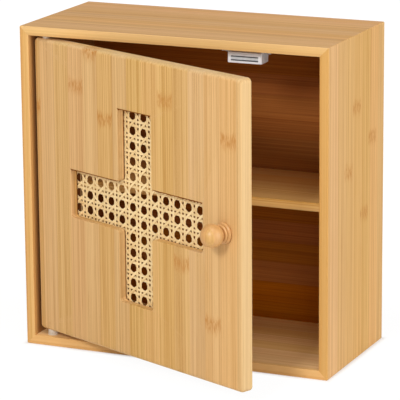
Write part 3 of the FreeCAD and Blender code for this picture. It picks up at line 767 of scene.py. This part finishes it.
def weaving_tree():
    """Sweeps each planned strand as a flat crowned ribbon that passes over and under its neighbours."""
    names = ("Step", "Width", "Thickness", "Crown", "Pair lift", "Diagonal lift")
    sizes = [(name, "NodeSocketFloat") for name in names]
    sizes += [("Shift", "NodeSocketVector"), ("Finish", "NodeSocketMaterial")]
    tree, given = geometry_tree("weave cane", sizes)
    curve = node(tree, "GeometryNodeMeshToCurve", {0: given["Geometry"]}).outputs[0]
    steps = {"Curve": curve, "Length": given["Step"]}
    curve = node(tree, "GeometryNodeResampleCurve", steps, mode="LENGTH").outputs[0]

    # Cells passed so far along the strand, measured from the middle of a pair
    position = node(tree, "GeometryNodeInputPosition").outputs[0]
    from_origin = vector_calc(tree, "SUBTRACT", position, given["Shift"])
    counted = {0: from_origin, 1: read(tree, "count", "FLOAT_VECTOR")}
    cells = node(tree, "ShaderNodeVectorMath", counted, operation="DOT_PRODUCT").outputs["Value"]

    # Waves: strands of a pair pass over one neighbour and under the next, diagonals rise and sink once a cell
    in_cell = calc(tree, "SUBTRACT", calc(tree, "FRACT", cells), 0.5)
    in_pair = within_one(tree, calc(tree, "DIVIDE", in_cell, read(tree, "pair_share")))
    pair_swing = calc(tree, "SINE", calc(tree, "MULTIPLY", in_pair, math.pi))
    pair_wave = calc(tree, "MULTIPLY", pair_swing, given["Pair lift"])
    cell_swing = calc(tree, "COSINE", calc(tree, "MULTIPLY", cells, math.tau))
    steep = within_one(tree, calc(tree, "MULTIPLY", cell_swing, diagonal_steepness))
    diagonal_wave = calc(tree, "MULTIPLY", steep, given["Diagonal lift"])
    diagonal = read(tree, "diagonal")
    plain = calc(tree, "MULTIPLY", pair_wave, calc(tree, "SUBTRACT", 1.0, diagonal))
    wave = calc(tree, "MULTIPLY_ADD", diagonal_wave, diagonal, plain)
    wave = calc(tree, "MULTIPLY", wave, read(tree, "side"))
    lift = node(tree, "ShaderNodeCombineXYZ", {2: wave}).outputs[0]
    curve = node(tree, "GeometryNodeSetPosition", {"Geometry": curve, "Offset": lift}).outputs[0]
    curve = node(tree, "GeometryNodeSetCurveNormal", {0: curve}, mode="Z_UP").outputs[0]

    # What the finish reads: a tone for each strand and the place along it
    number = {0: node(tree, "GeometryNodeInputIndex").outputs[0]}
    strand = node(tree, "GeometryNodeFieldOnDomain", number, domain="CURVE", data_type="INT").outputs[0]
    draw = {"ID": strand, "Seed": strand_seed}
    tone = node(tree, "FunctionNodeRandomValue", draw, data_type="FLOAT").outputs[1]
    curve = store(tree, curve, "strand_tone", tone)
    curve = store(tree, curve, "strand_run", node(tree, "GeometryNodeSplineParameter").outputs["Length"])

    # Ribbon section: flat behind, crowned in front
    circle = {"Resolution": strand_corners, "Radius": 0.5}
    section = node(tree, "GeometryNodeCurvePrimitiveCircle", circle, mode="RADIUS").outputs[0]
    corner = node(tree, "GeometryNodeInputPosition").outputs[0]
    spot = node(tree, "ShaderNodeSeparateXYZ", {0: corner}).outputs
    rounded = calc(tree, "MULTIPLY", calc(tree, "SIGN", spot["Y"]), given["Thickness"])
    rounded = calc(tree, "MULTIPLY", rounded, 0.5)
    middle = calc(tree, "SUBTRACT", 1.0, calc(tree, "MULTIPLY", calc(tree, "ABSOLUTE", spot["X"]), 2.0))
    crowned = calc(tree, "MULTIPLY_ADD", middle, given["Crown"], rounded)
    spread = calc(tree, "MULTIPLY", spot["X"], given["Width"])
    shape = node(tree, "ShaderNodeCombineXYZ", {0: spread, 1: crowned}).outputs[0]
    section = store(tree, section, "strand_side", node(tree, "GeometryNodeSplineParameter").outputs["Factor"])
    section = node(tree, "GeometryNodeSetPosition", {"Geometry": section, "Position": shape}).outputs[0]

    sweep = {"Curve": curve, "Profile Curve": section, "Fill Caps": True}
    mesh = node(tree, "GeometryNodeCurveToMesh", sweep).outputs[0]
    mesh = node(tree, "GeometryNodeSetShadeSmooth", {"Geometry": mesh}).outputs[0]
    mesh = node(tree, "GeometryNodeRealizeInstances", {0: mesh}).outputs[0]
    mesh = node(tree, "GeometryNodeSetMaterial", {"Geometry": mesh, "Material": given["Finish"]}).outputs[0]
    node(tree, "NodeGroupOutput", {0: mesh})
    return tree


def made_by(tree, name, mesh, values, matrix):
    """Run a geometry tree on a mesh and keep its result as a plain mesh, put in its place."""
    source = bpy.data.objects.new(name + "_plan", mesh)
    bpy.context.scene.collection.objects.link(source)
    modifier = source.modifiers.new("make", "NODES")
    modifier.node_group = tree
    for item in tree.interface.items_tree:
        if item.in_out == "INPUT" and item.name in values:
            modifier[item.identifier] = values[item.name]
    graph = bpy.context.evaluated_depsgraph_get()
    result = bpy.data.meshes.new_from_object(source.evaluated_get(graph), depsgraph=graph)
    bpy.data.objects.remove(source)
    result.transform(matrix)
    piece = bpy.data.objects.new(name, result)
    bpy.context.scene.collection.objects.link(piece)
    return piece


def woven_cane():
    """Six-way cane in the door's window, in place of the plain sheet."""
    to_window = Matrix.Translation((door_middle.x, cane_front + cane_depth / 2, door_middle.y))
    facing = to_window @ Matrix.Rotation(math.radians(90), 4, "X")
    values = {
        "Step": strand_step,
        "Width": strand_width,
        "Thickness": strand_thickness,
        "Crown": strand_crown,
        "Pair lift": pair_lift,
        "Diagonal lift": diagonal_lift,
        "Shift": (*cane_shift, 0.0),
        "Finish": cane_finish(),
    }
    return made_by(weaving_tree(), "woven_cane", strand_plan(), values, door_turn @ facing)


cane = woven_cane()
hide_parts("cane_webbing")
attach(cane, "door")


def part_boxes(name, turn):
    """Low and high corners of each separate part of a CAD node, with a turn taken back."""
    sketch = bmesh.new()
    sketch.from_mesh(nodes[name].data)
    sketch.transform(turn.inverted() @ nodes[name].matrix_world)
    bmesh.ops.remove_doubles(sketch, verts=sketch.verts, dist=weld_distance)
    unseen = set(sketch.verts)
    boxes = []
    while unseen:
        group = [unseen.pop()]
        for vertex in group:
            near = {edge.other_vert(vertex) for edge in vertex.link_edges} & unseen
            unseen -= near
            group.extend(near)
        spread = list(zip(*(vertex.co for vertex in group)))
        boxes.append((Vector(map(min, spread)), Vector(map(max, spread))))
    sketch.free()
    return sorted(boxes, key=lambda box: tuple(box[0]))


def turned(name, profile, steps=20):
    """Closed mesh turned about Z from radii and heights, tip first."""
    sketch = bmesh.new()
    points = [sketch.verts.new((radius, 0.0, height)) for radius, height in profile]
    lines = [sketch.edges.new(pair) for pair in zip(points, points[1:])]
    bmesh.ops.spin(sketch, geom=points + lines, axis=(0.0, 0.0, 1.0), angle=math.tau, steps=steps)
    bmesh.ops.remove_doubles(sketch, verts=sketch.verts, dist=weld_distance)
    bmesh.ops.recalc_face_normals(sketch, faces=sketch.faces)
    mesh = bpy.data.meshes.new(name)
    sketch.to_mesh(mesh)
    sketch.free()
    return mesh


def fastener_tree(crossed):
    """Sets a nail or screw on every given point; a crossed one has a driver's cross cut in its head."""
    sizes = [("Fastener", "NodeSocketObject"), ("Finish", "NodeSocketMaterial")]
    sizes += [(name, "NodeSocketFloat") for name in ("Length", "Bar length", "Bar width", "Bar height")]
    tree, given = geometry_tree("set fasteners", sizes)
    model = node(tree, "GeometryNodeObjectInfo", {"Object": given["Fastener"]}).outputs["Geometry"]
    if crossed:
        top = node(tree, "ShaderNodeCombineXYZ", {2: given["Length"]}).outputs[0]
        cut = node(tree, "GeometryNodeMeshBoolean", {0: model}, operation="DIFFERENCE", solver="EXACT")
        for long_side, short_side in ((0, 1), (1, 0)):
            sides = {long_side: given["Bar length"], short_side: given["Bar width"], 2: given["Bar height"]}
            size = node(tree, "ShaderNodeCombineXYZ", sides).outputs[0]
            bar = node(tree, "GeometryNodeMeshCube", {"Size": size}).outputs[0]
            bar = node(tree, "GeometryNodeTransform", {"Geometry": bar, "Translation": top}).outputs[0]
            tree.links.new(bar, cut.inputs["Mesh 2"])
        model = cut.outputs["Mesh"]
    places = {"Points": given["Geometry"], "Instance": model}
    placed = node(tree, "GeometryNodeInstanceOnPoints", places).outputs[0]
    mesh = node(tree, "GeometryNodeRealizeInstances", {0: placed}).outputs[0]
    mesh = node(tree, "GeometryNodeSetMaterial", {"Geometry": mesh, "Material": given["Finish"]}).outputs[0]
    node(tree, "NodeGroupOutput", {0: mesh})
    return tree


def set_fasteners(name, body, facing, shank, head, outline, crossed):
    """Nails or screws in the places of a CAD node's plain ones; facing turns +Z to where their heads look."""
    to_world = (door_turn if body == "door" else Matrix.Identity(4)) @ facing
    boxes = part_boxes(name, to_world)
    low, high = boxes[0]
    length = high.z - low.z
    radius = (high.x - low.x) / 2
    point = [(out * shank, up * shank) for out, up in point_outline]
    rim = [(radius * share, length - head * (1 - rise)) for share, rise in outline]
    profile = point + [(shank, length - head)] + rim + [(0.0, length)]
    model = bpy.data.objects.new(name + "_model", turned(name + "_model", profile))
    tips = bpy.data.meshes.new(name + "_tips")
    tips.from_pydata([((low.x + high.x) / 2, (low.y + high.y) / 2, low.z) for low, high in boxes], [], [])
    values = {
        "Fastener": model,
        "Finish": plated,
        "Length": length,
        "Bar length": bar_length * radius,
        "Bar width": bar_width * radius,
        "Bar height": bar_height * head,
    }
    made = made_by(fastener_tree(crossed), name + "_set", tips, values, to_world)
    bpy.data.objects.remove(model)
    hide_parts(name)
    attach(made, body)


to_back = Matrix.Rotation(math.radians(-90), 4, "X")
to_floor = Matrix.Rotation(math.radians(180), 4, "X")
set_fasteners("back_panel_pins", "carcass", to_back, pin_shank, pin_head, flat_outline, False)
set_fasteners("catch_screws", "carcass", to_floor, catch_shank, catch_head, pan_outline, True)
set_fasteners("retainer_pins", "door", to_back, pin_shank, pin_head, flat_outline, False)
set_fasteners("knob_screw", "door", to_back, knob_shank, knob_head, pan_outline, True)
set_fasteners("strike_screw", "door", to_back, strike_shank, strike_head, sunk_outline, True)


def seen_from(azimuth, elevation):
    """Direction from the cabinet towards a place, by its angles from the front and from the level."""
    around, up = math.radians(azimuth), math.radians(elevation)
    return Vector((math.sin(around) * math.cos(up), -math.cos(around) * math.cos(up), math.sin(up)))


def softbox(name, azimuth, elevation, distance, size, share):
    """Square lamp aimed at the cabinet; share is the light it adds to a face turned to it."""
    way = seen_from(azimuth, elevation)
    data = bpy.data.lights.new(name, "AREA")
    data.shape = "SQUARE"
    data.size = size
    data.energy = share * (math.pi * distance) ** 2
    lamp = bpy.data.objects.new(name, data)
    lamp.location = cabinet_middle + way * distance
    lamp.rotation_mode = "QUATERNION"
    lamp.rotation_quaternion = way.to_track_quat("Z", "Y")
    bpy.context.scene.collection.objects.link(lamp)


def is_seen(tree):
    """One for the rays of the camera, of gloss and of glass, none for the rays that carry light."""
    path = node(tree, "ShaderNodeLightPath").outputs
    shown = calc(tree, "MAXIMUM", path["Is Camera Ray"], path["Is Glossy Ray"])
    return calc(tree, "MAXIMUM", shown, path["Is Transmission Ray"])


def room():
    """White backdrop that lights the cabinet with a weaker, warm light."""
    world = bpy.data.worlds.new("studio")
    world.use_nodes = True
    tree = world.node_tree
    backdrop = tree.nodes["Background"]
    seen = is_seen(tree)
    tree.links.new(blend(tree, seen, room_tint, white), backdrop.inputs["Color"])
    strength = node(tree, "ShaderNodeMapRange", {"Value": seen, "To Min": room_light, "To Max": 1.0})
    tree.links.new(strength.outputs["Result"], backdrop.inputs["Strength"])
    bpy.context.scene.world = world


def floor_finish():
    """Pale floor that shows a soft shadow near the cabinet and white further off."""
    material = new_material("floor")
    tree = material.node_tree
    tree.nodes.clear()
    place = node(tree, "ShaderNodeTexCoord").outputs["Object"]
    split = node(tree, "ShaderNodeSeparateXYZ", {0: place}).outputs
    beside = calc(tree, "SUBTRACT", calc(tree, "ABSOLUTE", split["X"]), cabinet_width / 2)
    before = calc(tree, "SUBTRACT", calc(tree, "ABSOLUTE", split["Y"]), cabinet_depth / 2)
    away = calc(tree, "MAXIMUM", beside, before)
    near = ramp_up(tree, away, 0.0, near_reach, near_share_start, near_share_end)
    far = ramp_up(tree, away, far_start, far_end, 0.0, far_share)
    share = calc(tree, "MULTIPLY", is_seen(tree), calc(tree, "ADD", near, far))
    matt = node(tree, "ShaderNodeBsdfDiffuse", {"Color": floor_grey}).outputs[0]
    glow = node(tree, "ShaderNodeEmission", {"Color": white, "Strength": floor_white}).outputs[0]
    mixed = node(tree, "ShaderNodeMixShader", {0: share, 1: matt, 2: glow}).outputs[0]
    node(tree, "ShaderNodeOutputMaterial", {"Surface": mixed})
    return material


def studio():
    """Room light, floor and four soft lamps."""
    room()
    plane = bpy.data.meshes.new("floor")
    sketch = bmesh.new()
    bmesh.ops.create_grid(sketch, x_segments=1, y_segments=1, size=floor_half_side)
    sketch.to_mesh(plane)
    sketch.free()
    floor = bpy.data.objects.new("floor", plane)
    bpy.context.scene.collection.objects.link(floor)
    plane.materials.append(floor_finish())
    for name, setting in lamps.items():
        softbox(name, *setting)


def camera():
    """Long lens at the photograph's viewpoint."""
    data = bpy.data.cameras.new("camera")
    data.sensor_width = sensor_width
    data.lens = focal_pixels / image_side * sensor_width
    data.clip_end = camera_reach
    way = seen_from(camera_azimuth, camera_elevation)
    axes = way.to_track_quat("Z", "Y").to_matrix().to_4x4()
    roll = Matrix.Rotation(math.radians(camera_roll), 4, "Z")
    eye = bpy.data.objects.new("camera", data)
    eye.matrix_world = Matrix.Translation(camera_aim + way * camera_distance) @ axes @ roll
    bpy.context.scene.collection.objects.link(eye)
    bpy.context.scene.camera = eye


studio()
camera()
bpy.context.scene.view_settings.view_transform = "Standard"
